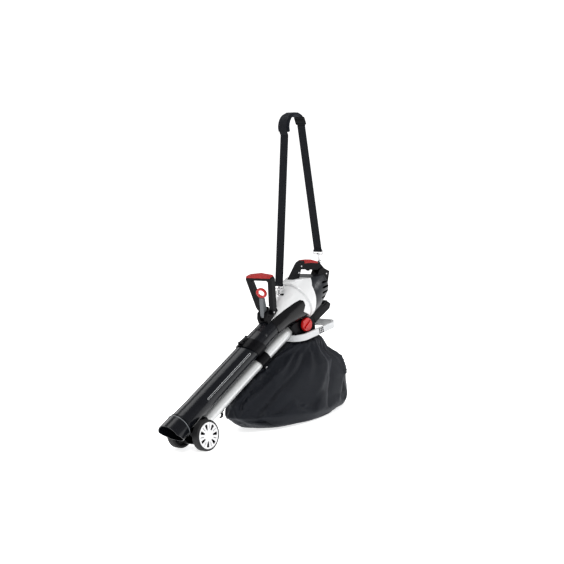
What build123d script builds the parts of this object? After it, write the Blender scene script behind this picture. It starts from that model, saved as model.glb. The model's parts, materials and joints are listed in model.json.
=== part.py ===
"""A wheeled cordless leaf blower and vacuum with a collection bag, a front loop handle and a shoulder strap.

Millimetres, +Z up. The nozzle points to -X, the motor and battery to +X, and the user's left is -Y.
The origin is on the floor under the middle of the object: the wheels and the underside of the bag stand on Z = 0.

Two side planes carry nearly every outline. ALONG lies along the tubes: its x is the distance up the suction
tube, counted from the wheel axle, and its y is the height square to the tube, counted from the tube's axis.
UPRIGHT stands on the floor: its x is the distance behind the wheel axle and its y is the height.
"""

from build123d import *
import os
from math import cos, radians, sin

os.makedirs("parts", exist_ok=True)

# ---- driving dimensions -------------------------------------------------------------------------------
TILT = 26.5  # slope of the tubes to the floor, degrees
AXLE_X = -406.0  # the axle, so that the object's box is centred on the origin
WHEEL_R = 65.0
SUCTION_RISE = 78.0  # suction tube axis above the axle, square to the tubes
BLOW_DROP = 78.0  # blow tube axis below the suction tube axis
WALL = 2.5  # tube wall
SHELL = 3.0  # casing wall
GAP = 0.3  # between neighbouring pieces
RUN = 0.05  # radial clearance of a running fit

UP_TUBE = Vector(cos(radians(TILT)), 0, sin(radians(TILT)))
OFF_TUBE = Vector(-sin(radians(TILT)), 0, cos(radians(TILT)))
AXLE = Vector(AXLE_X, 0, WHEEL_R)
TUBE_ZERO = AXLE + OFF_TUBE * SUCTION_RISE

ALONG = Plane(origin=TUBE_ZERO, x_dir=UP_TUBE, z_dir=(0, -1, 0))
UPRIGHT = Plane(origin=(AXLE_X, 0, 0), x_dir=(1, 0, 0), z_dir=(0, -1, 0))
LEVEL = Plane(origin=(AXLE_X, 0, 0), x_dir=(1, 0, 0), z_dir=(0, 0, 1))
SUCTION_AXIS = Axis(TUBE_ZERO, UP_TUBE)
SIDES = {"left": -1, "right": 1}


def at(along, off=0.0, across=0.0):
    """The point at a place along the tubes, off their axis and across the machine."""
    return TUBE_ZERO + UP_TUBE * along + OFF_TUBE * off + Vector(0, across, 0)


def spot(back, height, across=0.0):
    """The point at a distance behind the axle, a height over the floor and across the machine."""
    return Vector(AXLE_X + back, across, height)


def square_to_tube(along, off=0.0):
    """A plane across the tubes: its x is off the tube axis and its z is up the tube."""
    return Plane(origin=at(along, off), x_dir=OFF_TUBE, z_dir=UP_TUBE)


def shifted(plane, across):
    """A side plane moved across the machine."""
    return Plane(origin=plane.origin + Vector(0, across, 0), x_dir=plane.x_dir, z_dir=plane.z_dir)


def save(builder, label):
    """Labels a finished piece and writes it."""
    builder.part.label = label
    export_step(builder.part, f"parts/{label}.step")


def half_of(side):
    """Which side of the middle plane a left or right half keeps (its normal is -Y)."""
    return Keep.TOP if side < 0 else Keep.BOTTOM


# ---- suction tube ----------------------------------------------------------------------------------------
TUBE_END_R = 46.6  # both halves of the tube inside their collar
TUBE_LOW_R = 52.0  # where the lower tube meets the nozzle
TUBE_TOP_R = 45.5
TUBE_JOIN = 480.0
TUBE_START = -55.0
TUBE_TOP = 812.0
GROOVE_START, GROOVE_END, GROOVE_WIDTH, GROOVE_OFF = 112.0, 430.0, 10.0, 15.0
CUFF_R, CUFF_START, CUFF_END = 55.0, -125.0, -42.0

with BuildPart() as suction_tube_lower:
    with BuildSketch(ALONG):
        Polygon(
            (TUBE_START, TUBE_LOW_R), (60, 48.7), (425, TUBE_END_R), (TUBE_JOIN - 0.2, TUBE_END_R),
            (TUBE_JOIN - 0.2, TUBE_END_R - WALL), (425, TUBE_END_R - WALL), (60, 48.7 - WALL),
            (TUBE_START, TUBE_LOW_R - WALL), align=None)
    revolve(axis=SUCTION_AXIS)
    for side in SIDES.values():
        depth_plane = shifted(ALONG, side * 44.0)
        with BuildSketch(depth_plane):
            with Locations(((GROOVE_START + GROOVE_END) / 2, GROOVE_OFF)):
                SlotOverall(GROOVE_END - GROOVE_START, GROOVE_WIDTH)
        extrude(amount=-side * 12, mode=Mode.SUBTRACT)
save(suction_tube_lower, "suction_tube_lower")

with BuildPart() as nozzle_cuff:
    with BuildSketch(ALONG):
        Polygon((CUFF_START, CUFF_R + 0.5), (CUFF_END - 3, CUFF_R), (CUFF_END, CUFF_R - 2), (CUFF_END, TUBE_LOW_R + 0.05),
                (CUFF_START, TUBE_LOW_R + 0.05), align=None)
    revolve(axis=SUCTION_AXIS)
    with BuildSketch(ALONG):
        with BuildLine():
            Polyline((-200, 90), (-113, 90), (-113, 14), (-56, -90), (-200, -90), close=True)
        make_face()
        fillet(vertices().group_by(SortBy.DISTANCE)[0], 22)
    extrude(amount=90, both=True, mode=Mode.SUBTRACT)
save(nozzle_cuff, "nozzle_cuff")

with BuildPart() as suction_tube_upper:
    with BuildSketch(ALONG):
        Polygon((TUBE_JOIN, TUBE_END_R), (545, TUBE_END_R), (560, TUBE_TOP_R), (TUBE_TOP, TUBE_TOP_R),
                (TUBE_TOP, TUBE_TOP_R - WALL), (560, TUBE_TOP_R - WALL), (545, TUBE_END_R - WALL),
                (TUBE_JOIN, TUBE_END_R - WALL), align=None)
    revolve(axis=SUCTION_AXIS)
save(suction_tube_upper, "suction_tube_upper")

# ---- blow tube --------------------------------------------------------------------------------------------
BLOW_R = 28.6
BLOW_START, BLOW_JOIN, BLOW_TOP = 42.0, 500.0, 716.0

for label, start, end in (("blow_tube_lower", BLOW_START, BLOW_JOIN - 0.2), ("blow_tube_upper", BLOW_JOIN, BLOW_TOP)):
    with BuildPart() as blow_tube:
        with BuildSketch(square_to_tube(start, -BLOW_DROP)):
            Circle(BLOW_R)
            Circle(BLOW_R - 1.5, mode=Mode.SUBTRACT)
        extrude(amount=end - start)
    save(blow_tube, label)

# ---- collar, coupler and latch -------------------------------------------------------------------------
LEAN = 0.5  # the collar's faces lean back by this much for each millimetre below the tube axis
COLLAR_START, COLLAR_END = 455.0, 512.0
COLLAR_R, COUPLER_R = 51.5, 33.5
COUPLER_START, COUPLER_END = 472.0, 530.0
LATCH_PIN = (441.0, 56.5)
LUG = (500.0, -121.0)

with BuildPart() as tube_collar:
    with BuildSketch(square_to_tube(420)):
        Circle(COLLAR_R)
        Circle(TUBE_END_R + 0.1, mode=Mode.SUBTRACT)
    extrude(amount=130)
    with BuildSketch(ALONG):
        Polygon((COLLAR_START - 70 * LEAN, 70), (COLLAR_END - 70 * LEAN, 70), (COLLAR_END + 70 * LEAN, -70),
                (COLLAR_START + 70 * LEAN, -70), align=None)
    extrude(amount=60, both=True, mode=Mode.INTERSECT)
    for side in SIDES.values():
        with BuildSketch(shifted(ALONG, side * 7)):
            with Locations(LATCH_PIN):
                Circle(6)
            with Locations((LATCH_PIN[0] + 6, LATCH_PIN[1] - 5)):
                Rectangle(18, 8)
            with Locations(LATCH_PIN):
                Circle(2.0 + RUN, mode=Mode.SUBTRACT)
        extrude(amount=-side * 4)
    with BuildSketch(square_to_tube(400)):
        Circle(TUBE_END_R + 0.1)
    extrude(amount=160, mode=Mode.SUBTRACT)
    with BuildSketch(square_to_tube(420, -BLOW_DROP)):
        Circle(COUPLER_R + 0.1)
    extrude(amount=160, mode=Mode.SUBTRACT)
save(tube_collar, "tube_collar")

with BuildPart() as collar_latch:
    with BuildSketch(shifted(ALONG, 6.5)):
        with BuildLine():
            Polyline((437, 57), (438.5, 60.5), (446, 62.5), (478, 60), (486, 63), (487, 60.5), (479, 56), (462, 56.5),
                     (448, 53.8), (439, 53.2), close=True)
        make_face()
    extrude(amount=13)
    with BuildSketch(shifted(ALONG, 11)):
        with Locations(LATCH_PIN):
            Circle(2.0)
    extrude(amount=22)
save(collar_latch, "collar_latch")

with BuildPart() as blow_tube_coupler:
    with BuildSketch(square_to_tube(440, -BLOW_DROP)):
        Circle(COUPLER_R)
    extrude(amount=120)
    with BuildSketch(ALONG):
        with Locations((LUG[0], LUG[1] + 5)):
            Rectangle(28, 34)
        fillet(vertices(), 4)
    extrude(amount=9, both=True)
    with BuildSketch(ALONG):
        Polygon((COUPLER_START - 14, -30), (COUPLER_END - 8, -30), (COUPLER_END + 8, -145), (COUPLER_START + 14, -145),
                align=None)
    extrude(amount=60, both=True, mode=Mode.INTERSECT)
    with BuildSketch(square_to_tube(440, -BLOW_DROP)):
        Circle(BLOW_R + 0.1)
    extrude(amount=120, mode=Mode.SUBTRACT)
    with BuildSketch(shifted(ALONG, 20)):
        with Locations(LUG):
            Circle(3.1)
    extrude(amount=40, mode=Mode.SUBTRACT)
    with BuildSketch(square_to_tube(420)):
        Circle(TUBE_END_R + 0.1)
    extrude(amount=160, mode=Mode.SUBTRACT)
save(blow_tube_coupler, "blow_tube_coupler")

with BuildPart() as coupler_screw:
    with BuildSketch(shifted(ALONG, 14)):
        with Locations(LUG):
            Circle(3.0)
    extrude(amount=26)
    with BuildSketch(shifted(ALONG, -9.1)):
        with Locations(LUG):
            RegularPolygon(7, 8)
    extrude(amount=7)
    with BuildSketch(shifted(ALONG, 14)):
        with Locations(LUG):
            RegularPolygon(5.5, 6)
    extrude(amount=4.8)
save(coupler_screw, "coupler_screw")

# ---- axle bracket and wheels -----------------------------------------------------------------------------
AXLE_R = 6.0
AXLE_OFF = -SUCTION_RISE
WHEEL_IN, WHEEL_OUT = 54.0, 92.0
RIM_R = 55.8

with BuildPart() as axle_bracket:
    with BuildSketch(ALONG):
        with BuildLine():
            Polyline((-34, -104), (-22, -118), (52, -118), (74, -108), (74, -44), (20, -36), (-28, -44), close=True)
        make_face()
        fillet(vertices(), 6)
    extrude(amount=40, both=True)
    with BuildSketch(shifted(ALONG, 52)):
        with Locations((0, AXLE_OFF)):
            Circle(15)
    extrude(amount=104)
    with BuildSketch(ALONG):
        Polygon((-80, 0), (-80, 53.3), (60, 49.4), (120, 49.1), (120, 0), align=None)
    revolve(axis=SUCTION_AXIS, mode=Mode.SUBTRACT)
    with BuildSketch(square_to_tube(BLOW_START - 0.1, -BLOW_DROP)):
        Circle(BLOW_R + 0.1)
    extrude(amount=60, mode=Mode.SUBTRACT)
    with BuildSketch(square_to_tube(-60, -BLOW_DROP)):
        Circle(BLOW_R - 3)
    extrude(amount=120, mode=Mode.SUBTRACT)
    with BuildSketch(shifted(ALONG, 60)):
        with Locations((0, AXLE_OFF)):
            Circle(AXLE_R + 0.02)
    extrude(amount=120, mode=Mode.SUBTRACT)
save(axle_bracket, "axle_bracket")

with BuildPart() as stub_axles:
    for side in SIDES.values():
        with BuildSketch(shifted(ALONG, side * 28)):
            with Locations((0, AXLE_OFF)):
                Circle(AXLE_R)
        extrude(amount=-side * 58)
save(stub_axles, "stub_axles")

with BuildPart() as axle_clips:
    for side in SIDES.values():
        with BuildSketch(shifted(ALONG, side * 82.6)):
            with Locations((0, AXLE_OFF)):
                Circle(10)
                Circle(AXLE_R + 0.01, mode=Mode.SUBTRACT)
        extrude(amount=-side * 1.6)
save(axle_clips, "axle_clips")

COVER_SPOKES = 7
for name, side in SIDES.items():
    wheel_plane = Plane(origin=AXLE + Vector(0, side * WHEEL_IN, 0), x_dir=(1, 0, 0), z_dir=(0, side, 0))
    width = WHEEL_OUT - WHEEL_IN

    with BuildPart() as wheel_tyre:
        with BuildSketch(Plane(origin=AXLE, x_dir=(0, side, 0), z_dir=(1, 0, 0))):
            with BuildLine():
                Polyline((WHEEL_IN, RIM_R + 0.1), (WHEEL_IN, 60), (WHEEL_IN + 6, WHEEL_R), (WHEEL_OUT - 5, WHEEL_R),
                         (WHEEL_OUT, 61), (WHEEL_OUT, RIM_R + 0.1), close=True)
            make_face()
        revolve(axis=Axis(AXLE, (0, 1, 0)))
    save(wheel_tyre, f"wheel_tyre_{name}")

    with BuildPart() as wheel_rim:
        with BuildSketch(wheel_plane):
            Circle(RIM_R)
            Circle(RIM_R - 3.5, mode=Mode.SUBTRACT)
        extrude(amount=width - 3.2)
        with BuildSketch(wheel_plane.offset(14)):
            Circle(RIM_R - 3)
        extrude(amount=4)
        with BuildSketch(wheel_plane):
            Circle(13)
        extrude(amount=28)
        with BuildSketch(wheel_plane):
            Circle(AXLE_R + RUN)
        extrude(amount=width, mode=Mode.SUBTRACT)
    save(wheel_rim, f"wheel_rim_{name}")

    with BuildPart() as wheel_cover:
        with BuildSketch(wheel_plane.offset(width - 3)):
            Circle(RIM_R)
            with PolarLocations(0, COVER_SPOKES):
                Polygon((24, 3.0), (47, 7.5), (49.5, 0), (47, -7.5), (24, -3.0), align=None, mode=Mode.SUBTRACT)
            with PolarLocations(0, COVER_SPOKES, start_angle=180 / COVER_SPOKES):
                with Locations((39, 0)):
                    SlotOverall(20, 2.6, mode=Mode.SUBTRACT)
        extrude(amount=3)
        fillet(faces().sort_by(Axis.Y)[-1 if side > 0 else 0].outer_wire().edges(), 1.5)
    save(wheel_cover, f"wheel_cover_{name}")

# ---- bag hook under the blow tube --------------------------------------------------------------------------
HOOK_ALONG = 182.0
BLOW_UNDER = -BLOW_DROP - BLOW_R

with BuildPart() as bag_hook:
    with BuildSketch(square_to_tube(HOOK_ALONG - 12, -BLOW_DROP)):
        Circle(BLOW_R + 3)
        Circle(BLOW_R + 0.1, mode=Mode.SUBTRACT)
        with Locations((BLOW_R * 0.55, 0)):
            Rectangle(3 * BLOW_R, 3 * BLOW_R, mode=Mode.SUBTRACT)
    extrude(amount=24)
    with BuildSketch(ALONG):
        with BuildLine():
            Polyline((176, BLOW_UNDER - 1), (188, BLOW_UNDER - 1), (186, BLOW_UNDER - 18), (176, BLOW_UNDER - 25),
                     (164, BLOW_UNDER - 22), (164, BLOW_UNDER - 17), (175, BLOW_UNDER - 19), (179, BLOW_UNDER - 14),
                     close=True)
        make_face()
    extrude(amount=4, both=True)
save(bag_hook, "bag_hook")

# ---- casing: neck, fan drum and motor housing turned about the suction axis ------------------------------
NECK_START, DRUM_R, DRUM_START, DRUM_END, CASE_END = 622.0, 97.0, 815.0, 885.0, 985.0
CROWN = 598.0  # height of the flat crown under the rear handle
PANEL_TOP = 40.0  # upper edge of the black side panels over the axis
PANEL_BOTTOM = -46.0
SEAM = [(836, -130), (838, -50), (850, -16), (859, 6), (866, 29), (874, 48), (905, 68), (925, 95), (925, 140)]
NOSE = [(752, PANEL_TOP), (782, 37), (793, 25), (790, 4), (772, -19), (806, -62), (812, -130)]


def casing_solid(inset):
    """The casing as one solid, its walls moved in by inset and its crown cut flat."""
    with BuildPart() as solid:
        with BuildSketch(ALONG):
            Polygon((NECK_START, 0), (NECK_START, 48.6 - inset), (700, 60 - inset), (760, 77 - inset),
                    (800, 90 - inset), (805 - inset, 91 - inset), (807 - inset, 86 - inset),
                    (DRUM_START + inset, 86 - inset), (DRUM_START + 2 + inset, 94 - inset),
                    (DRUM_START + 9 + inset, DRUM_R - inset), (DRUM_END, DRUM_R - inset), (925, 90 - inset),
                    (965, 81 - inset), (CASE_END - 6 - inset, 74 - inset), (CASE_END - inset, 66 - inset),
                    (CASE_END - inset, 0), align=None)
        revolve(axis=SUCTION_AXIS)
        with BuildSketch(UPRIGHT):
            with Locations((800, CROWN - inset + 100)):
                Rectangle(500, 200)
        extrude(amount=150, both=True, mode=Mode.SUBTRACT)
    return solid.part


CASING = casing_solid(0)
CASING_HOLLOW = casing_solid(SHELL)
CASING_CLEAR = casing_solid(-GAP)

with BuildPart() as front_zone:  # all that lies before the seam and above the side panels
    with BuildSketch(ALONG):
        with BuildLine():
            Polyline((560, 140), (560, PANEL_TOP), *NOSE, *SEAM, close=True)
        make_face()
    extrude(amount=150, both=True)

with BuildPart() as tail_zone:  # all that lies behind the seam
    with BuildSketch(ALONG):
        with BuildLine():
            Polyline(*[(x + GAP, y) for x, y in SEAM], (1060, 140), (1060, -130), close=True)
        make_face()
    extrude(amount=150, both=True)

with BuildPart() as panel_zone:  # the black sides of the duct, under the neck
    with BuildSketch(ALONG):
        with BuildLine():
            Polyline((NECK_START - 5, PANEL_TOP - 0.8), *[(x - 0.8, y - 0.8) for x, y in NOSE[:5]], (782, -34),
                     (791, PANEL_BOTTOM), (NECK_START - 5, PANEL_BOTTOM), close=True)
        make_face()
    extrude(amount=150, both=True)

FRONT_ZONE, TAIL_ZONE, PANEL_ZONE = front_zone.part, tail_zone.part, panel_zone.part

# ---- diverter housing between the fan, the blow tube and the bag -------------------------------------------
DIVERTER_HALF = 44.0
DIVERTER_FLOOR = 352.0
KNOB = (702.0, 398.0)  # back of the axle and over the floor
KNOB_R = 31.0
SHAFT_R = 5.0
DIVERTER_SIDE = [(617.6, 404), (644.4, 352), (770, 352), (770, 402), (757, 432), (740, 470), (716, 452.5)]
CHAMBER_SIDE = [(655, 366), (655, 416), (694, 434), (742, 452), (752, 428), (756, 400), (756, 345), (690, 345),
                (690, 366)]
OUTLET = (818, -74)
PORT_X, PORT_R = 722.0, 32.0

with BuildPart() as outlet_cut:
    with BuildSketch(ALONG):
        with Locations(OUTLET):
            Rectangle(30, 26)
    extrude(amount=26, both=True)

for name, side in SIDES.items():
    with BuildPart() as housing_shell:
        add(CASING)
        add(CASING_HOLLOW, mode=Mode.SUBTRACT)
        add(FRONT_ZONE, mode=Mode.INTERSECT)
        with BuildSketch(square_to_tube(NECK_START - 20)):
            Circle(TUBE_TOP_R + 0.1)
        extrude(amount=DRUM_START + 15 - NECK_START, mode=Mode.SUBTRACT)
        add(outlet_cut.part, mode=Mode.SUBTRACT)
        split(bisect_by=Plane.XZ, keep=half_of(side))
    save(housing_shell, f"housing_shell_{name}")

    with BuildPart() as duct_panel:
        add(casing_solid(1.2))
        add(PANEL_ZONE, mode=Mode.INTERSECT)
        with BuildSketch(square_to_tube(NECK_START - 20)):
            Circle(TUBE_TOP_R + 0.1)
        extrude(amount=400, mode=Mode.SUBTRACT)
        split(bisect_by=Plane.XZ, keep=half_of(side))
    save(duct_panel, f"duct_panel_{name}")

    with BuildPart() as motor_cover:
        add(CASING)
        add(CASING_HOLLOW, mode=Mode.SUBTRACT)
        add(TAIL_ZONE, mode=Mode.INTERSECT)
        with BuildSketch(shifted(UPRIGHT, side * 52)):
            for row in range(4):
                with Locations((826 - 4 * row, 570 - 22 * row)):
                    SlotOverall(66, 9, rotation=2)
        extrude(amount=-side * 60, mode=Mode.SUBTRACT)
        split(bisect_by=Plane.XZ, keep=half_of(side))
    save(motor_cover, f"motor_cover_{name}")

with BuildPart() as diverter_housing:
    with BuildSketch(UPRIGHT):
        with BuildLine():
            Polyline(*DIVERTER_SIDE, close=True)
        make_face()
    extrude(amount=DIVERTER_HALF, both=True)
    with BuildSketch(shifted(UPRIGHT, DIVERTER_HALF + 6)):
        with Locations(KNOB):
            Circle(KNOB_R + 4)
    extrude(amount=12)
    with BuildSketch(shifted(UPRIGHT, -DIVERTER_HALF + 6)):
        with Locations(KNOB):
            Circle(KNOB_R + 4)
    extrude(amount=10)
    with BuildSketch(UPRIGHT):
        with BuildLine():
            Polyline(*CHAMBER_SIDE, close=True)
        make_face()
    extrude(amount=DIVERTER_HALF - 4, both=True, mode=Mode.SUBTRACT)
    with BuildSketch(square_to_tube(BLOW_TOP - 20, -BLOW_DROP)):
        Circle(BLOW_R + 0.1)
    extrude(amount=20.2, mode=Mode.SUBTRACT)
    with BuildSketch(square_to_tube(BLOW_TOP - 5, -BLOW_DROP)):
        Circle(BLOW_R - 3)
    extrude(amount=40, mode=Mode.SUBTRACT)
    with BuildSketch(LEVEL.offset(DIVERTER_FLOOR - 5)):
        with Locations((PORT_X, 0)):
            Circle(PORT_R)
    extrude(amount=30, mode=Mode.SUBTRACT)
    with BuildSketch(shifted(UPRIGHT, 80)):
        with Locations(KNOB):
            Circle(SHAFT_R + RUN)
    extrude(amount=160, mode=Mode.SUBTRACT)
    add(CASING_CLEAR, mode=Mode.SUBTRACT)
    with BuildSketch(square_to_tube(NECK_START)):
        Circle(TUBE_TOP_R + GAP)
    extrude(amount=250, mode=Mode.SUBTRACT)
save(diverter_housing, "diverter_housing")

with BuildPart() as diverter_flap:
    with BuildSketch(shifted(UPRIGHT, DIVERTER_HALF - 4.5)):
        with Locations(KNOB):
            Circle(9)
        with BuildLine():
            Polyline((KNOB[0] + 2, KNOB[1] - 6), (KNOB[0] + 40, KNOB[1] + 5), (KNOB[0] + 40, KNOB[1] + 8),
                     (KNOB[0], KNOB[1] + 6), close=True)
        make_face()
        with Locations(KNOB):
            Circle(SHAFT_R, mode=Mode.SUBTRACT)
    extrude(amount=2 * DIVERTER_HALF - 9)
save(diverter_flap, "diverter_flap")

with BuildPart() as selector_knob:
    with BuildSketch(shifted(UPRIGHT, -DIVERTER_HALF - 6.4)):
        with Locations(KNOB):
            Circle(KNOB_R)
    extrude(amount=7)
    with BuildSketch(shifted(UPRIGHT, -DIVERTER_HALF - 13.4)):
        with Locations(KNOB):
            Circle(KNOB_R)
    extrude(amount=5, taper=28)
    with BuildSketch(shifted(UPRIGHT, -DIVERTER_HALF - 18)):
        with Locations(KNOB):
            Rectangle(2 * KNOB_R - 16, 9, rotation=35)
    extrude(amount=5.5, taper=8)
    with BuildSketch(shifted(UPRIGHT, DIVERTER_HALF)):
        with Locations(KNOB):
            Circle(SHAFT_R)
    extrude(amount=2 * DIVERTER_HALF + 7)
save(selector_knob, "selector_knob")

# ---- bag port, bag frame and bag -------------------------------------------------------------------------
PORT_TOP, PORT_BOTTOM = DIVERTER_FLOOR - GAP, 343.0
FRAME_BACK = (636.0, 888.0)  # front and rear of the frame's centre line
FRAME_HALF = 73.0
FRAME_SLOPE = 6.0
FRAME_BAR, FRAME_TALL = 11.0, 28.0
FRAME_MID = 360.0  # height of the frame's middle at its centre

with BuildPart() as bag_port:
    with BuildSketch(LEVEL.offset(PORT_BOTTOM)):
        with Locations((PORT_X, 0)):
            Circle(PORT_R + 8)
            Circle(PORT_R, mode=Mode.SUBTRACT)
    extrude(amount=PORT_TOP - PORT_BOTTOM)
save(bag_port, "bag_port")

frame_centre = spot(sum(FRAME_BACK) / 2, FRAME_MID)
FRAME_PLANE = Plane(origin=frame_centre, x_dir=(1, 0, 0), z_dir=(0, 0, 1)).rotated((0, -FRAME_SLOPE, 0))
frame_length = FRAME_BACK[1] - FRAME_BACK[0]
with BuildPart() as bag_frame_hoop:
    with BuildSketch(FRAME_PLANE.offset(-FRAME_TALL / 2)):
        RectangleRounded(frame_length + FRAME_BAR, 2 * FRAME_HALF + FRAME_BAR, 52)
        RectangleRounded(frame_length - FRAME_BAR, 2 * FRAME_HALF - FRAME_BAR, 42, mode=Mode.SUBTRACT)
    extrude(amount=FRAME_TALL)
    with BuildSketch(square_to_tube(BLOW_JOIN, -BLOW_DROP)):
        Circle(BLOW_R + GAP)
    extrude(amount=BLOW_TOP + 20 - BLOW_JOIN, mode=Mode.SUBTRACT)
    with BuildSketch(UPRIGHT):
        with BuildLine():
            Polyline(*DIVERTER_SIDE, close=True)
        make_face()
        offset(amount=GAP)
    extrude(amount=DIVERTER_HALF + GAP, both=True, mode=Mode.SUBTRACT)
save(bag_frame_hoop, "bag_frame_hoop")

# height, middle, half length and half width of the bag's level sections
BAG_SECTIONS = [(0, 578, 235, 105), (14, 572, 290, 132), (50, 570, 362, 152), (100, 598, 374, 160),
                (170, 633, 334, 150), (240, 683, 243, 126), (300, 715, 142, 98), (318, 722, 106, 80)]
BAG_TOP, BAG_COLLAR = 336.0, (736, 88, 58)

with BuildPart() as collection_bag:
    for low, high in zip(BAG_SECTIONS[:-1], BAG_SECTIONS[1:]):
        for height, middle, half_length, half_width in (low, high):
            with BuildSketch(LEVEL.offset(height)):
                with Locations((middle, 0)):
                    Ellipse(half_length, half_width)
        loft(ruled=True)
    with BuildSketch(LEVEL.offset(BAG_SECTIONS[-1][0])):
        with Locations((BAG_COLLAR[0], 0)):
            Ellipse(BAG_COLLAR[1], BAG_COLLAR[2])
    extrude(amount=BAG_TOP - BAG_SECTIONS[-1][0])
    with BuildSketch(square_to_tube(BLOW_START, -BLOW_DROP)):
        Circle(BLOW_R + 2)
    extrude(amount=BLOW_TOP - BLOW_START, mode=Mode.SUBTRACT)
    with BuildSketch(square_to_tube(COUPLER_START - 20, -BLOW_DROP)):
        Circle(COUPLER_R + 3)
    extrude(amount=COUPLER_END - COUPLER_START + 45, mode=Mode.SUBTRACT)
    with BuildSketch(ALONG):
        with Locations((LUG[0], LUG[1])):
            Rectangle(44, 44)
    extrude(amount=17, both=True, mode=Mode.SUBTRACT)
save(collection_bag, "collection_bag")

# ---- motor, fan and electronics ----------------------------------------------------------------------------
FAN_BACK = 864.0
MOTOR_START, MOTOR_END, MOTOR_R = 880.0, 946.0, 36.0
BEARING_R = 11.0

with BuildPart() as impeller:
    with BuildSketch(square_to_tube(FAN_BACK)):
        Circle(82)
    extrude(amount=3)
    with BuildSketch(square_to_tube(FAN_BACK - 30)):
        Circle(15)
    extrude(amount=30)
    with BuildSketch(square_to_tube(FAN_BACK - 30)):
        with PolarLocations(0, 8):
            with Locations((47, 0)):
                Rectangle(68, 3, rotation=18)
    extrude(amount=30)
    with BuildSketch(square_to_tube(FAN_BACK - 31)):
        Circle(SHAFT_R + 0.02)
    extrude(amount=40, mode=Mode.SUBTRACT)
save(impeller, "impeller")

with BuildPart() as motor_shaft:
    with BuildSketch(square_to_tube(FAN_BACK - 42)):
        Circle(SHAFT_R)
    extrude(amount=MOTOR_END + 4 - FAN_BACK + 42)
    with BuildSketch(square_to_tube(MOTOR_START + 14)):
        Circle(22)
    extrude(amount=38)
save(motor_shaft, "motor_shaft")

with BuildPart() as motor_can:
    with BuildSketch(square_to_tube(MOTOR_START)):
        Circle(MOTOR_R)
    extrude(amount=MOTOR_END - MOTOR_START)
    with BuildSketch(square_to_tube(MOTOR_START + 9)):
        Circle(24.5)
    extrude(amount=MOTOR_END - MOTOR_START - 18, mode=Mode.SUBTRACT)
    with BuildSketch(square_to_tube(MOTOR_START - 1)):
        Circle(BEARING_R + 0.01)
    extrude(amount=MOTOR_END - MOTOR_START + 2, mode=Mode.SUBTRACT)
save(motor_can, "motor_can")

with BuildPart() as motor_bearings:
    for start in (MOTOR_START + 1, MOTOR_END - 8):
        with BuildSketch(square_to_tube(start)):
            Circle(BEARING_R)
            Circle(SHAFT_R + 0.03, mode=Mode.SUBTRACT)
        extrude(amount=7)
save(motor_bearings, "motor_bearings")

with BuildPart() as motor_mount:
    with BuildSketch(square_to_tube(FAN_BACK + 7)):
        Circle(93)
        Circle(SHAFT_R + 3, mode=Mode.SUBTRACT)
    extrude(amount=4)
    with BuildSketch(square_to_tube(FAN_BACK + 11)):
        Circle(MOTOR_R + 3)
        Circle(MOTOR_R + 0.1, mode=Mode.SUBTRACT)
    extrude(amount=24)
    add(casing_solid(SHELL + GAP), mode=Mode.INTERSECT)
save(motor_mount, "motor_mount")

# ---- rear handle, grip, trigger and battery dock ------------------------------------------------------------
EYES = [(597.0, 545.0), (885.0, 644.0)]  # front and rear eye, back of the axle and over the floor
EYE_LINE = Vector(EYES[1][0] - EYES[0][0], 0, EYES[1][1] - EYES[0][1]).normalized()
EYE_R = 2.5
EYE_RODS = [(*EYES[0], -9.0, 20.0, -9.0), (*EYES[1], -22.0, 9.0, 6.5)]  # where, start, end, start of its head


def eye_plane(back, height):
    """A plane across the line of the two strap eyes."""
    return Plane(origin=spot(back, height), x_dir=(0, 1, 0), z_dir=EYE_LINE)


HANDLE_HALF, DOCK_HALF = 16.0, 21.0
HANDLE_OUT = [(609, 546), (634, 552), (650, 562), (686, 604), (735, 654), (747, 664), (764, 669), (811, 663), (869, 643),
              (893, 619), (903, 608), (924, 598), (905, 546), (866, 484)]
HANDLE_IN = [(838, 470), (800, 560), (838, 587), (857, 614), (742, 634), (720, 588), (655, 530), (612, 523)]
DOCK = [(838, 587), (857, 614), (880, 622), (924, 598), (905, 546), (866, 484), (838, 470)]
GRIP = [(768, 656), (766, 671), (811, 667.5), (858, 651), (856, 643), (811, 652)]
TRIGGER_PIN = (782.0, 640.0)
LOCK = (755.0, 662.0)
LOCK_R = 5.0

with BuildPart() as grip_zone:
    with BuildSketch(UPRIGHT):
        Polygon(*GRIP, align=None)
    extrude(amount=HANDLE_HALF + 2, both=True)
GRIP_ZONE = grip_zone.part

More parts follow.
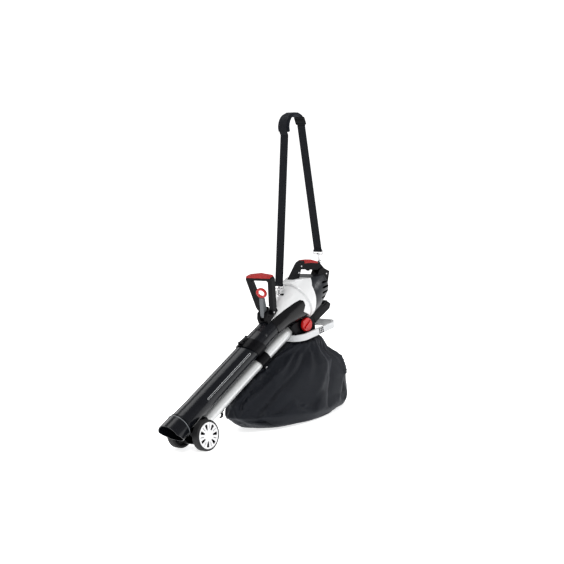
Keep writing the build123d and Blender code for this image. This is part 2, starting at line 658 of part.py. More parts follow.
for name, side in SIDES.items():
    with BuildPart() as rear_handle:
        with BuildSketch(UPRIGHT):
            Polygon(*HANDLE_OUT, *HANDLE_IN, align=None)
        extrude(amount=HANDLE_HALF, both=True)
        with BuildSketch(UPRIGHT):
            Polygon(*DOCK, align=None)
        extrude(amount=DOCK_HALF, both=True)
        add(CASING_CLEAR, mode=Mode.SUBTRACT)
        add(GRIP_ZONE, mode=Mode.SUBTRACT)
        with BuildSketch(UPRIGHT):  # pocket for the trigger and its switch
            Polygon((772, 600), (772, 647), (836, 640), (836, 629), (812, 629), (812, 600), align=None)
        extrude(amount=7.5, both=True, mode=Mode.SUBTRACT)
        with BuildSketch(shifted(UPRIGHT, 11)):
            with Locations(TRIGGER_PIN):
                Circle(2.0 + RUN)
        extrude(amount=22, mode=Mode.SUBTRACT)
        with BuildSketch(LEVEL.offset(LOCK[1] - 12)):
            with Locations((LOCK[0], 0)):
                Circle(LOCK_R + RUN)
        extrude(amount=30, mode=Mode.SUBTRACT)
        with BuildSketch(UPRIGHT):  # room for the control board
            Polygon((858, 560), (858, 600), (888, 600), (888, 548), align=None)
        extrude(amount=DOCK_HALF - 6, both=True, mode=Mode.SUBTRACT)
        for back, height, start, end, head in EYE_RODS:
            with BuildSketch(eye_plane(back, height).offset(start)):
                Circle(EYE_R + 0.02)
            extrude(amount=end - start + 0.1, mode=Mode.SUBTRACT)
        split(bisect_by=Plane.XZ, keep=half_of(side))
    save(rear_handle, f"rear_handle_{name}")

with BuildPart() as rear_grip_pad:
    add(GRIP_ZONE)
    with BuildSketch(UPRIGHT):
        with BuildLine():
            Polyline(*GRIP, close=True)
        make_face()
        offset(amount=-0.15)
    extrude(amount=HANDLE_HALF + 1, both=True, mode=Mode.INTERSECT)
save(rear_grip_pad, "rear_grip_pad")

with BuildPart() as trigger:
    with BuildSketch(shifted(UPRIGHT, 6.8)):
        with BuildLine():
            Polyline((775, 645), (788, 644), (802, 637), (809, 628), (808, 618.5), (804, 618), (798, 623), (788, 627.5),
                     (778, 632), close=True)
        make_face()
    extrude(amount=13.6)
    with BuildSketch(shifted(UPRIGHT, 10.5)):
        with Locations(TRIGGER_PIN):
            Circle(2.0)
    extrude(amount=21)
save(trigger, "trigger")

with BuildPart() as microswitch:
    with BuildSketch(shifted(UPRIGHT, 5)):
        with Locations((822, 635)):
            Rectangle(16, 8, rotation=-7)
    extrude(amount=10)
save(microswitch, "microswitch")

with BuildPart() as lock_off_button:
    with BuildSketch(LEVEL.offset(LOCK[1] - 7)):
        with Locations((LOCK[0], 0)):
            Circle(LOCK_R)
    extrude(amount=13)
    fillet(edges().group_by(Axis.Z)[-1], 1.5)
save(lock_off_button, "lock_off_button")

with BuildPart() as controller_board:
    with BuildSketch(UPRIGHT):
        Polygon((866, 560), (868, 560), (880, 598), (878, 598), align=None)
    extrude(amount=DOCK_HALF - 8, both=True)
save(controller_board, "controller_board")

# ---- battery under the motor ---------------------------------------------------------------------------------
BATTERY = [(851, -136), (958, -140), (976, -128), (962, -98), (851, -98)]
BATTERY_HALF = 37.0

with BuildPart() as battery_dock:
    with BuildSketch(ALONG):
        Polygon((843.5, -100), (843.5, -134), (850, -137), (850, -97), (925, -97), (925, -80), (843.5, -80), align=None)
    extrude(amount=BATTERY_HALF + 4, both=True)
    for side in SIDES.values():  # rails that hold the battery and let it slide out
        with BuildSketch(square_to_tube(850, -97)):
            with BuildLine():
                Polyline((1, side * 41), (1, side * (BATTERY_HALF + 0.4)), (-8, side * (BATTERY_HALF + 0.4)),
                         (-8, side * 33), (-11, side * 33), (-11, side * 41), close=True)
            make_face()
        extrude(amount=75)
    add(CASING_CLEAR, mode=Mode.SUBTRACT)
save(battery_dock, "battery_dock")

with BuildPart() as battery_pack:
    with BuildSketch(ALONG):
        with BuildLine():
            Polyline(*BATTERY, close=True)
        make_face()
    extrude(amount=BATTERY_HALF, both=True)
    with BuildSketch(ALONG):
        with Locations((945, -139)):
            Rectangle(22, 12)
    extrude(amount=10 + GAP, both=True, mode=Mode.SUBTRACT)
    for side in SIDES.values():
        with BuildSketch(square_to_tube(840, -106.5)):
            with Locations((0, side * BATTERY_HALF)):
                Rectangle(3.8, 9)
        extrude(amount=140, mode=Mode.SUBTRACT)
save(battery_pack, "battery_pack")

with BuildPart() as battery_button:
    with BuildSketch(ALONG):
        with Locations((945, -138.3)):
            Rectangle(22 - 2 * GAP, 4)
    extrude(amount=10, both=True)
save(battery_button, "battery_button")

# ---- front loop handle, its bracket and release lever --------------------------------------------------------
BRACKET = [(600, 26), (605, 62), (620, 82), (664, 84), (684, 68), (682, 26)]
BRACKET_HALF = 28.0
PIVOT = (650.0, 66.0)
PIN_R = 4.0
HUB_R = 11.0
LOOP_LEAN = 10.0
LOOP_FACING = (-cos(radians(LOOP_LEAN)), 0, -sin(radians(LOOP_LEAN)))
LOOP = Plane(origin=at(*PIVOT), x_dir=(0, -1, 0), z_dir=LOOP_FACING)  # the loop's own plane, y up the loop
LOOP_OUT = [(-42, 8), (42, 8), (50, 22), (75, 150), (66, 167), (0, 174), (-66, 167), (-75, 150), (-50, 22)]
LOOP_IN = [(-24, 30), (24, 30), (28, 38), (50, 140), (44, 146), (-44, 146), (-50, 140), (-28, 38)]
LOOP_THICK = 23.0
LOOP_GRIP = 157.0  # height up the loop where the soft grip starts
LEVER_PIN = (622.0, 63.0)
LEVER_HALF = 11.0

with BuildPart() as front_handle_bracket:
    with BuildSketch(ALONG):
        Polygon(*BRACKET, align=None)
    extrude(amount=BRACKET_HALF, both=True)
    with BuildSketch(ALONG):
        with Locations((PIVOT[0] + 12, PIVOT[1] + 12)):
            Rectangle(44, 40)
    extrude(amount=18, both=True, mode=Mode.SUBTRACT)
    with BuildSketch(ALONG):
        Polygon((580, 50), (580, 120), (640, 120), (640, 50), align=None)
    extrude(amount=LEVER_HALF + GAP, both=True, mode=Mode.SUBTRACT)
    for centre, radius in ((PIVOT, PIN_R + 0.02), (LEVER_PIN, 2.5 + RUN)):
        with BuildSketch(shifted(ALONG, 40)):
            with Locations(centre):
                Circle(radius)
        extrude(amount=80, mode=Mode.SUBTRACT)
    with BuildSketch(square_to_tube(560)):
        Circle(TUBE_TOP_R + GAP)
    extrude(amount=160, mode=Mode.SUBTRACT)
    add(CASING_CLEAR, mode=Mode.SUBTRACT)
save(front_handle_bracket, "front_handle_bracket")

with BuildPart() as handle_pivot_pin:
    with BuildSketch(shifted(ALONG, BRACKET_HALF + 12)):
        with Locations(PIVOT):
            Circle(PIN_R)
    extrude(amount=2 * BRACKET_HALF + 24)
save(handle_pivot_pin, "handle_pivot_pin")

with BuildPart() as front_handle_frame:
    with BuildSketch(LOOP.offset(-LOOP_THICK / 2)):
        with BuildLine():
            Polyline(*LOOP_OUT, close=True)
        make_face()
        fillet(vertices(), 9)
        with BuildLine():
            Polyline(*LOOP_IN, close=True)
        make_face(mode=Mode.SUBTRACT)
    extrude(amount=LOOP_THICK)
    with BuildSketch(LOOP.offset(-LOOP_THICK / 2)):  # room for the bracket and the lever between the hubs
        Rectangle(2 * BRACKET_HALF + 2 * GAP, 64)
    extrude(amount=LOOP_THICK, mode=Mode.SUBTRACT)
    with BuildSketch(LOOP.offset(-LOOP_THICK / 2)):
        with Locations((0, LOOP_GRIP + 15)):
            Rectangle(2 * 69, 30)
    extrude(amount=LOOP_THICK, mode=Mode.SUBTRACT)
    for side in SIDES.values():
        with BuildSketch(shifted(ALONG, side * (BRACKET_HALF + GAP))):
            with Locations(PIVOT):
                Circle(HUB_R)
            with BuildLine():
                Polyline((PIVOT[0] - 9, PIVOT[1]), (PIVOT[0] + 9, PIVOT[1]), (PIVOT[0] + 22, PIVOT[1] + 24),
                         (PIVOT[0] + 5, PIVOT[1] + 32), close=True)
            make_face()
        extrude(amount=-side * 13)
    with BuildSketch(shifted(ALONG, 60)):
        with Locations(PIVOT):
            Circle(PIN_R + RUN)
    extrude(amount=120, mode=Mode.SUBTRACT)
save(front_handle_frame, "front_handle_frame")

with BuildPart() as front_grip_pad:
    with BuildSketch(LOOP.offset(-LOOP_THICK / 2 - 1.2)):
        with BuildLine():
            Polyline(*LOOP_OUT, close=True)
        make_face()
        fillet(vertices(), 9)
        with Locations((0, LOOP_GRIP + GAP + 15)):
            Rectangle(2 * (69 - GAP), 30, mode=Mode.INTERSECT)
    extrude(amount=LOOP_THICK + 2.4)
save(front_grip_pad, "front_grip_pad")

RING_AT = spot(491, 571)
RING_WIDE, RING_TALL, RING_BAR = 28.5, 22.5, 5.2

with BuildPart() as cam_lever:
    with BuildSketch(shifted(UPRIGHT, LEVER_HALF)):
        with BuildLine():
            Polyline((486, 463), (502, 461), (508, 473), (504, 500), (498, 549), (486, 549), (484, 500), (483, 476),
                     close=True)
        make_face()
        fillet(vertices(), 2)
    extrude(amount=2 * LEVER_HALF)
    with BuildSketch(shifted(ALONG, 22)):
        with Locations(LEVER_PIN):
            Circle(2.5)
    extrude(amount=44)
save(cam_lever, "cam_lever")

with BuildPart() as release_ring:
    with BuildSketch(Plane(origin=RING_AT - LOOP.z_dir * RING_BAR, x_dir=(0, -1, 0), z_dir=LOOP_FACING)):
        Ellipse(RING_WIDE, RING_TALL)
        Ellipse(RING_WIDE - 2 * RING_BAR, RING_TALL - 2 * RING_BAR, mode=Mode.SUBTRACT)
    extrude(amount=2 * RING_BAR)
    fillet(edges(), 3)
    with BuildSketch(UPRIGHT):
        Polygon((470, 530), (510, 530), (510, 549.3), (470, 549.3), align=None)
    extrude(amount=20, both=True, mode=Mode.SUBTRACT)
save(release_ring, "release_ring")

# ---- shoulder strap --------------------------------------------------------------------------------------------
RINGS = [(608.0, 579.0), (882.0, 688.0)]  # middles of the two strap rings
STRAP_HALF, STRAP_THICK = 22.0, 2.4
PAD_LINE = [(728, 1238), (727, 1262), (736, 1286), (754, 1304), (778, 1311), (802, 1308), (821, 1296)]
PAD_THICK = 10.0

with BuildPart() as strap_eyes:
    for back, height, start, end, head in EYE_RODS:
        with BuildSketch(eye_plane(back, height).offset(start)):
            Circle(EYE_R)
        extrude(amount=end - start)
        with BuildSketch(eye_plane(back, height).offset(head)):
            Circle(5.5)
        extrude(amount=2.5)
save(strap_eyes, "strap_eyes")

with BuildPart() as snap_hooks:
    for (back, height), (ring_back, ring_height) in zip(EYES, RINGS):
        low = spot(ring_back, ring_height - 8)
        stem = low - spot(back, height)
        stem_length = stem.length
        stem_plane = Plane(origin=spot(back, height), x_dir=(0, 1, 0), z_dir=stem.normalized())
        with BuildSketch(stem_plane.offset(6)):
            Rectangle(7, 5)
        extrude(amount=stem_length - 10)
        with BuildSketch(eye_plane(back, height).offset(-2.5)):
            Circle(8)
        extrude(amount=5)
        with BuildSketch(Plane(origin=low + Vector(0, 4, 0), x_dir=(1, 0, 0), z_dir=(0, -1, 0))):
            Circle(6)
        extrude(amount=8)
        with BuildSketch(eye_plane(back, height).offset(-6)):
            Circle(EYE_R + RUN)
        extrude(amount=12, mode=Mode.SUBTRACT)
        with BuildSketch(Plane(origin=low + Vector(0, 6, 0), x_dir=(1, 0, 0), z_dir=(0, -1, 0))):
            Circle(2.3)
        extrude(amount=12, mode=Mode.SUBTRACT)
save(snap_hooks, "snap_hooks")

with BuildPart() as strap_rings:
    for ring_back, ring_height in RINGS:
        ring_plane = Plane(origin=spot(ring_back - 2, ring_height), x_dir=(0, 1, 0), z_dir=(1, 0, 0))
        with BuildSketch(ring_plane):
            Rectangle(2 * STRAP_HALF + 12, 20)
            fillet(vertices(), 5)
            Rectangle(2 * STRAP_HALF + 4, 12, mode=Mode.SUBTRACT)
        extrude(amount=4)
        fillet(edges(), 1.6)
save(strap_rings, "strap_rings")


def band(points, thick, offset_by=0.0):
    """A side face of even thickness along a line of points, moved square to the line by offset_by."""
    line = [Vector(*point) for point in points]
    near, far = [], []
    for i, point in enumerate(line):
        ahead = line[min(i + 1, len(line) - 1)] - line[max(i - 1, 0)]
        square = Vector(-ahead.Y, ahead.X).normalized()
        near.append(tuple(point + square * (offset_by - thick / 2))[:2])
        far.append(tuple(point + square * (offset_by + thick / 2))[:2])
    return near + far[::-1]


with BuildPart() as strap_front_leg:
    with BuildSketch(shifted(UPRIGHT, STRAP_HALF)):
        Polygon(*band([(RINGS[0][0] + 6, RINGS[0][1] + 11), (733, 1224), *PAD_LINE], STRAP_THICK, PAD_THICK / 2 + 1.4),
                align=None)
    extrude(amount=2 * STRAP_HALF)
    with BuildSketch(shifted(UPRIGHT, STRAP_HALF)):
        with Locations((RINGS[0][0], RINGS[0][1] + 8)):
            Circle(6)
    extrude(amount=2 * STRAP_HALF)
    with BuildSketch(shifted(UPRIGHT, STRAP_HALF)):
        with Locations((RINGS[0][0], RINGS[0][1] + 8)):
            Circle(3.2)
    extrude(amount=2 * STRAP_HALF, mode=Mode.SUBTRACT)
save(strap_front_leg, "strap_front_leg")

with BuildPart() as strap_rear_leg:
    with BuildSketch(shifted(UPRIGHT, STRAP_HALF)):
        Polygon(*band([(RINGS[1][0], RINGS[1][1] + 12), (841.5, 1256)], STRAP_THICK), align=None)
    extrude(amount=2 * STRAP_HALF)
    with BuildSketch(shifted(UPRIGHT, STRAP_HALF)):
        with Locations((RINGS[1][0], RINGS[1][1] + 8)):
            Circle(6)
    extrude(amount=2 * STRAP_HALF)
    with BuildSketch(shifted(UPRIGHT, STRAP_HALF)):
        with Locations((RINGS[1][0], RINGS[1][1] + 8)):
            Circle(3.2)
    extrude(amount=2 * STRAP_HALF, mode=Mode.SUBTRACT)
save(strap_rear_leg, "strap_rear_leg")

with BuildPart() as shoulder_pad:
    with BuildSketch(shifted(UPRIGHT, 32)):
        Polygon(*band(PAD_LINE, PAD_THICK), align=None)
    extrude(amount=64)
save(shoulder_pad, "shoulder_pad")

with BuildPart() as strap_buckle:
    with BuildSketch(Plane(origin=spot(837, 1276), x_dir=(0, 1, 0), z_dir=(1, 0, 0.3))):
        RectangleRounded(58, 36, 4)
        with Locations((0, 9), (0, -9)):
            Rectangle(47, 9, mode=Mode.SUBTRACT)
    extrude(amount=2.5, both=True)
save(strap_buckle, "strap_buckle")

# ---- screws ------------------------------------------------------------------------------------------------------
SCREWS = [((872, 577), DOCK_HALF), ((902, 590), DOCK_HALF), ((724, 622), HANDLE_HALF), ((745, 648), HANDLE_HALF),
          ((884, 520), DOCK_HALF)]

with BuildPart() as housing_screws:
    for (back, height), reach in SCREWS:
        for side in SIDES.values():
            with BuildSketch(shifted(UPRIGHT, side * (reach + GAP))):
                with Locations((back, height)):
                    Circle(4)
                    Rectangle(1.2, 8, mode=Mode.SUBTRACT)
            extrude(amount=-side * 1.2)
save(housing_screws, "housing_screws")
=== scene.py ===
"""Looks for the wheeled leaf blower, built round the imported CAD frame: metres, +Z up, nozzle to -X."""

import json
import math

import bmesh
import bpy
from mathutils import Matrix, Vector


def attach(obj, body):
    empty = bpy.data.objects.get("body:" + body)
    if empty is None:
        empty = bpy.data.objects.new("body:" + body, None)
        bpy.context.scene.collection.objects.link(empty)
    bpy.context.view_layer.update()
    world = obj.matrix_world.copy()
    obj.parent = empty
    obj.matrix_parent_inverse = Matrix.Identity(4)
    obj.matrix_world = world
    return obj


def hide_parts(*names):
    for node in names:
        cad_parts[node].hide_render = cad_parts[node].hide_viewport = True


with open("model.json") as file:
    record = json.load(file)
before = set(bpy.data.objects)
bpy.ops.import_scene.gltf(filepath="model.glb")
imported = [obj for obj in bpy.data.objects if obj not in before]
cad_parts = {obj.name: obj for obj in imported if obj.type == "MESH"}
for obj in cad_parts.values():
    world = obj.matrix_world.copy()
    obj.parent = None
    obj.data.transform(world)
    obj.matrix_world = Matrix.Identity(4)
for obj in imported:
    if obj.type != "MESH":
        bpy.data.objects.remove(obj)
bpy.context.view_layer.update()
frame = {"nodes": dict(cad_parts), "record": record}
NODES = frame["nodes"]

# ---- the machine's own axes, as in the CAD -------------------------------------------------------------
TILT = math.radians(26.5)
AXLE_X = -0.406
UP_TUBE = Vector((math.cos(TILT), 0, math.sin(TILT)))
OFF_TUBE = Vector((-math.sin(TILT), 0, math.cos(TILT)))
ACROSS = Vector((0, 1, 0))
TUBE_ZERO = Vector((AXLE_X, 0, 0.065)) + OFF_TUBE * 0.078


def at(along, off=0.0, across=0.0):
    """The point at a place along the tubes, off their axis and across the machine, from millimetres."""
    return TUBE_ZERO + (UP_TUBE * along + OFF_TUBE * off + ACROSS * across) / 1000


def spot(back, height, across=0.0):
    """The point behind the axle, over the floor and across the machine, from millimetres."""
    return Vector((AXLE_X + back / 1000, across / 1000, height / 1000))


# ---- camera, light and floor ---------------------------------------------------------------------------
VIEW_ROUND, VIEW_RISE, VIEW_ROLL = [math.radians(a) for a in (-137.83, 8.08, -5.03)]
VIEW_TARGET = Vector((0.2220, 0.0, 0.5965))
VIEW_DISTANCE = 8.0


def aim(obj, target):
    """Turns an object so that its -Z looks at a point."""
    obj.rotation_euler = (Vector(target) - obj.location).to_track_quat("-Z", "Y").to_euler()


def add_camera():
    """The camera, at the photograph's angle."""
    data = bpy.data.cameras.new("camera")
    data.lens = 117.72
    data.sensor_width = 36.0
    data.clip_end = 100.0
    cam = bpy.data.objects.new("camera", data)
    flat = Vector((math.cos(VIEW_ROUND), math.sin(VIEW_ROUND), 0))
    back = flat * math.cos(VIEW_RISE) + Vector((0, 0, math.sin(VIEW_RISE)))
    level = Vector((-flat.y, flat.x, 0))
    right = level * math.cos(VIEW_ROLL) + back.cross(level) * math.sin(VIEW_ROLL)
    turn = Matrix((right, back.cross(right), back)).transposed().to_4x4()
    cam.matrix_world = Matrix.Translation(VIEW_TARGET + back * VIEW_DISTANCE) @ turn
    bpy.context.collection.objects.link(cam)
    bpy.context.scene.camera = cam


def add_light(name, location, target, size, power, colour=(1, 1, 1)):
    """A soft square lamp."""
    data = bpy.data.lights.new(name, "AREA")
    data.shape = "SQUARE"
    data.size = size
    data.energy = power
    data.color = colour
    lamp = bpy.data.objects.new(name, data)
    lamp.location = location
    bpy.context.collection.objects.link(lamp)
    aim(lamp, target)


def add_studio():
    """Plain pale floor, soft lamps and a pale surrounding."""
    scene = bpy.context.scene
    scene.view_settings.view_transform = "Standard"
    scene.view_settings.look = "Medium High Contrast"
    world = bpy.data.worlds.new("studio")
    scene.world = world
    world.use_nodes = True
    back = world.node_tree.nodes["Background"]
    back.inputs["Color"].default_value = (1, 1, 1, 1)
    back.inputs["Strength"].default_value = 0.36
    seen = world.node_tree.nodes.new("ShaderNodeBackground")
    seen.inputs["Color"].default_value = (1, 1, 1, 1)
    seen.inputs["Strength"].default_value = 0.97
    ray = world.node_tree.nodes.new("ShaderNodeLightPath")
    pick = world.node_tree.nodes.new("ShaderNodeMixShader")
    links = world.node_tree.links
    links.new(ray.outputs["Is Camera Ray"], pick.inputs[0])
    links.new(back.outputs[0], pick.inputs[1])
    links.new(seen.outputs[0], pick.inputs[2])
    links.new(pick.outputs[0], world.node_tree.nodes["World Output"].inputs["Surface"])
    bpy.ops.mesh.primitive_circle_add(vertices=96, radius=40, fill_type="NGON", location=(0, 0, 0))
    floor = bpy.context.object
    floor.name = "floor"
    mat = bpy.data.materials.new("floor_white")
    mat.use_nodes = True
    shader = mat.node_tree.nodes["Principled BSDF"]
    shader.inputs["Base Color"].default_value = (0.93, 0.93, 0.93, 1)
    shader.inputs["Roughness"].default_value = 0.7
    shader.inputs["Specular IOR Level"].default_value = 0.1
    shader.inputs["Emission Color"].default_value = (1, 1, 1, 1)
    shader.inputs["Emission Strength"].default_value = 0.63
    floor.data.materials.append(mat)
    middle = (0.1, 0, 0.5)
    add_light("key", (-2.6, -2.2, 3.6), middle, 1.7, 74)
    add_light("top", (0.6, 0.4, 4.2), middle, 2.2, 40)
    add_light("side", (3.2, -2.8, 2.0), middle, 1.2, 34)
    add_light("behind", (0.5, 3.4, 2.6), middle, 2.0, 24)


# ---- materials -----------------------------------------------------------------------------------------
WAVE_SCALE = 0.314  # over the spacing of the bands in metres, the scale of a wave texture that has them


def new_material(name):
    """A node material, its nodes, links and shader."""
    mat = bpy.data.materials.new(name)
    mat.use_nodes = True
    nodes, links = mat.node_tree.nodes, mat.node_tree.links
    return mat, nodes, links, nodes["Principled BSDF"]


def node(nodes, kind, **values):
    """A new shader node with some of its inputs or settings set."""
    made = nodes.new(kind)
    for key, value in values.items():
        if hasattr(made, key):
            setattr(made, key, value)
        else:
            made.inputs[key.replace("_", " ")].default_value = value
    return made


def tint(colour, factor):
    """A colour scaled by a factor, with alpha 1."""
    return (*[min(1.0, c * factor) for c in colour], 1.0)


def moulded(name, colour, rough=0.4, metallic=0.0, coat=0.0, grain=900.0, grain_depth=0.00012, mottle=0.12,
            stretch=(1, 1, 1), smear=0.12, shine=0.5):
    """Moulded plastic, paint or metal: fine grain, slight mottling and uneven gloss."""
    mat, nodes, links, shader = new_material(name)
    place = node(nodes, "ShaderNodeTexCoord")
    mapping = node(nodes, "ShaderNodeMapping")
    mapping.inputs["Scale"].default_value = stretch
    links.new(place.outputs["Object"], mapping.inputs["Vector"])
    cloud = node(nodes, "ShaderNodeTexNoise", Scale=14.0, Detail=6.0, Roughness=0.6)
    links.new(mapping.outputs["Vector"], cloud.inputs["Vector"])
    blend = node(nodes, "ShaderNodeMix", data_type="RGBA")
    blend.inputs["A"].default_value = tint(colour, 1 - mottle)
    blend.inputs["B"].default_value = tint(colour, 1 + mottle)
    links.new(cloud.outputs["Fac"], blend.inputs["Factor"])
    links.new(blend.outputs["Result"], shader.inputs["Base Color"])
    gloss = node(nodes, "ShaderNodeMapRange")
    gloss.inputs["From Min"].default_value = 0.3
    gloss.inputs["From Max"].default_value = 0.7
    gloss.inputs["To Min"].default_value = max(0.03, rough - smear / 2)
    gloss.inputs["To Max"].default_value = min(1.0, rough + smear / 2)
    wide = node(nodes, "ShaderNodeTexNoise", Scale=40.0, Detail=4.0)
    links.new(mapping.outputs["Vector"], wide.inputs["Vector"])
    links.new(wide.outputs["Fac"], gloss.inputs["Value"])
    links.new(gloss.outputs["Result"], shader.inputs["Roughness"])
    fine = node(nodes, "ShaderNodeTexNoise", Scale=grain, Detail=3.0)
    links.new(place.outputs["Object"], fine.inputs["Vector"])
    bump = node(nodes, "ShaderNodeBump", Strength=0.35, Distance=grain_depth)
    links.new(fine.outputs["Fac"], bump.inputs["Height"])
    links.new(bump.outputs["Normal"], shader.inputs["Normal"])
    shader.inputs["Metallic"].default_value = metallic
    shader.inputs["Specular IOR Level"].default_value = shine
    shader.inputs["Coat Weight"].default_value = coat
    shader.inputs["Coat Roughness"].default_value = 0.12
    return mat


def woven(name, colour, spacing, depth, rough, sheen, sheen_tint=(0.6, 0.65, 0.8), mottle=0.25):
    """Woven cloth: two crossing sets of threads, mottling and a soft sheen."""
    mat, nodes, links, shader = new_material(name)
    place = node(nodes, "ShaderNodeTexCoord")
    mapping = node(nodes, "ShaderNodeMapping")
    links.new(place.outputs["Object"], mapping.inputs["Vector"])
    waves = []
    for way in ("X", "Y", "Z"):
        wave = node(nodes, "ShaderNodeTexWave", bands_direction=way, Scale=WAVE_SCALE / spacing,
                    Distortion=0.6, Detail=1.0)
        links.new(mapping.outputs["Vector"], wave.inputs["Vector"])
        waves.append(wave.outputs["Fac"])
    cross = node(nodes, "ShaderNodeMath", operation="MULTIPLY")
    links.new(waves[0], cross.inputs[0])
    links.new(waves[2], cross.inputs[1])
    total = node(nodes, "ShaderNodeMath", operation="ADD")
    links.new(cross.outputs[0], total.inputs[0])
    links.new(waves[1], total.inputs[1])
    cloud = node(nodes, "ShaderNodeTexNoise", Scale=9.0, Detail=8.0, Roughness=0.65)
    links.new(place.outputs["Object"], cloud.inputs["Vector"])
    blend = node(nodes, "ShaderNodeMix", data_type="RGBA")
    blend.inputs["A"].default_value = tint(colour, 1 - mottle)
    blend.inputs["B"].default_value = tint(colour, 1 + mottle)
    links.new(cloud.outputs["Fac"], blend.inputs["Factor"])
    thread = node(nodes, "ShaderNodeMix", data_type="RGBA", blend_type="MULTIPLY")
    thread.inputs["Factor"].default_value = 0.35
    links.new(blend.outputs["Result"], thread.inputs["A"])
    links.new(total.outputs[0], thread.inputs["B"])
    links.new(thread.outputs["Result"], shader.inputs["Base Color"])
    bump = node(nodes, "ShaderNodeBump", Strength=0.5, Distance=depth)
    links.new(total.outputs[0], bump.inputs["Height"])
    links.new(bump.outputs["Normal"], shader.inputs["Normal"])
    shader.inputs["Roughness"].default_value = rough
    shader.inputs["Specular IOR Level"].default_value = 0.3
    shader.inputs["Sheen Weight"].default_value = sheen
    shader.inputs["Sheen Roughness"].default_value = 0.4
    shader.inputs["Sheen Tint"].default_value = (*sheen_tint, 1)
    return mat


def ribbed(name, colour, axis, spacing, depth, rough=0.6):
    """Soft grip rubber with moulded ribs across one direction."""
    mat = moulded(name, colour, rough, grain=600, mottle=0.18)
    nodes, links = mat.node_tree.nodes, mat.node_tree.links
    place = node(nodes, "ShaderNodeTexCoord")
    wave = node(nodes, "ShaderNodeTexWave", bands_direction=axis, Scale=WAVE_SCALE / spacing)
    links.new(place.outputs["Object"], wave.inputs["Vector"])
    bump = node(nodes, "ShaderNodeBump", Strength=0.9, Distance=depth)
    links.new(wave.outputs["Fac"], bump.inputs["Height"])
    shader = nodes["Principled BSDF"]
    links.new(shader.inputs["Normal"].links[0].from_socket, bump.inputs["Normal"])
    links.new(bump.outputs["Normal"], shader.inputs["Normal"])
    return mat


ALONG_TUBE = (1.0, 3.0, 1.0)
MATERIALS = {
    "tube_black": moulded("tube_black", (0.007, 0.008, 0.011), 0.24, coat=0.14, grain=1400, mottle=0.1,
                          stretch=ALONG_TUBE, smear=0.04, shine=0.28),
    "moulded_black": moulded("moulded_black", (0.0045, 0.0045, 0.006), 0.32, grain=1500,
                             grain_depth=0.0001, shine=0.14),
    "panel_black": moulded("panel_black", (0.005, 0.005, 0.006), 0.2, coat=0.15, grain=1600, shine=0.35),
    "tube_silver": moulded("tube_silver", (0.66, 0.67, 0.67), 0.3, metallic=0.4, coat=0.2, grain=300,
                           grain_depth=0.00002, mottle=0.03, stretch=ALONG_TUBE, smear=0.03),
    "cover_silver": moulded("cover_silver", (0.70, 0.70, 0.71), 0.33, metallic=0.35, mottle=0.05),
    "shell_grey": moulded("shell_grey", (0.70, 0.705, 0.71), 0.30, coat=0.35, mottle=0.03),
    "cover_dark": moulded("cover_dark", (0.015, 0.017, 0.022), 0.34, coat=0.1, grain=1400, mottle=0.15,
                          shine=0.3),
    "frame_grey": moulded("frame_grey", (0.60, 0.61, 0.62), 0.42, mottle=0.04),
    "knob_red": moulded("knob_red", (0.46, 0.008, 0.007), 0.30, coat=0.3, mottle=0.06),
    "grip_red": ribbed("grip_red", (0.36, 0.012, 0.012), "X", 0.006, 0.0012),
    "lever_grey": moulded("lever_grey", (0.16, 0.17, 0.18), 0.4, mottle=0.1),
    "tyre": moulded("tyre", (0.012, 0.012, 0.013), 0.62, grain=500, grain_depth=0.0004),
    "steel": moulded("steel", (0.62, 0.62, 0.63), 0.25, metallic=1.0, mottle=0.06),
    "motor_steel": moulded("motor_steel", (0.35, 0.35, 0.37), 0.35, metallic=1.0),
    "inner_plastic": moulded("inner_plastic", (0.05, 0.05, 0.055), 0.5),
    "board_green": moulded("board_green", (0.02, 0.14, 0.06), 0.35),
    "battery_black": moulded("battery_black", (0.005, 0.005, 0.007), 0.34, grain=1300,
                             grain_depth=0.0001, shine=0.2),
    "bag_fabric": woven("bag_fabric", (0.0075, 0.0096, 0.0150), 0.0016, 0.0003, rough=0.5, sheen=0.07),
    "webbing": woven("webbing", (0.0040, 0.0052, 0.0090), 0.0024, 0.0006, rough=0.7, sheen=0.07),
    "pad_fabric": woven("pad_fabric", (0.0055, 0.0072, 0.0125), 0.0034, 0.0010, rough=0.8, sheen=0.1),
}
MATERIALS["grip_red_front"] = ribbed("grip_red_front", (0.36, 0.012, 0.012), "Y", 0.006, 0.0010)


def dress(obj, name):
    """Gives an object one material."""
    obj.data.materials.clear()
    obj.data.materials.append(MATERIALS[name])


def add_piece(mesh, name, slot, body):
    """A new piece made of a bmesh, in its finish and riding on its body."""
    data = bpy.data.meshes.new(name)
    mesh.to_mesh(data)
    mesh.free()
    piece = bpy.data.objects.new(name, data)
    bpy.context.collection.objects.link(piece)
    dress(piece, slot)
    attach(piece, body)
    return piece


def join_rings(mesh, first, second):
    """Faces between two rings of as many points."""
    for i in range(len(first)):
        j = (i + 1) % len(first)
        mesh.faces.new((first[i], first[j], second[j], second[i]))


def smooth_faces(obj):
    """Smooth shading all over an object."""
    for face in obj.data.polygons:
        face.use_smooth = True


def finish_nodes():
    """Materials, softened edges and smooth shading for the CAD nodes that stay."""
    slots = {row["node"]: row["material_slot"] for row in frame["record"]["subparts"]}
    slots["front_grip_pad"] = "grip_red_front"
    for name, obj in NODES.items():
        dress(obj, slots[name])
        weld = obj.modifiers.new("weld", "WELD")
        weld.merge_threshold = 0.00002
        bevel = obj.modifiers.new("edges", "BEVEL")
        bevel.width = 0.0011
        bevel.segments = 2
        bevel.limit_method = "ANGLE"
        bevel.angle_limit = math.radians(32)
        bevel.harden_normals = False
        smooth_faces(obj)
        smooth = obj.modifiers.new("normals", "WEIGHTED_NORMAL")
        smooth.keep_sharp = False


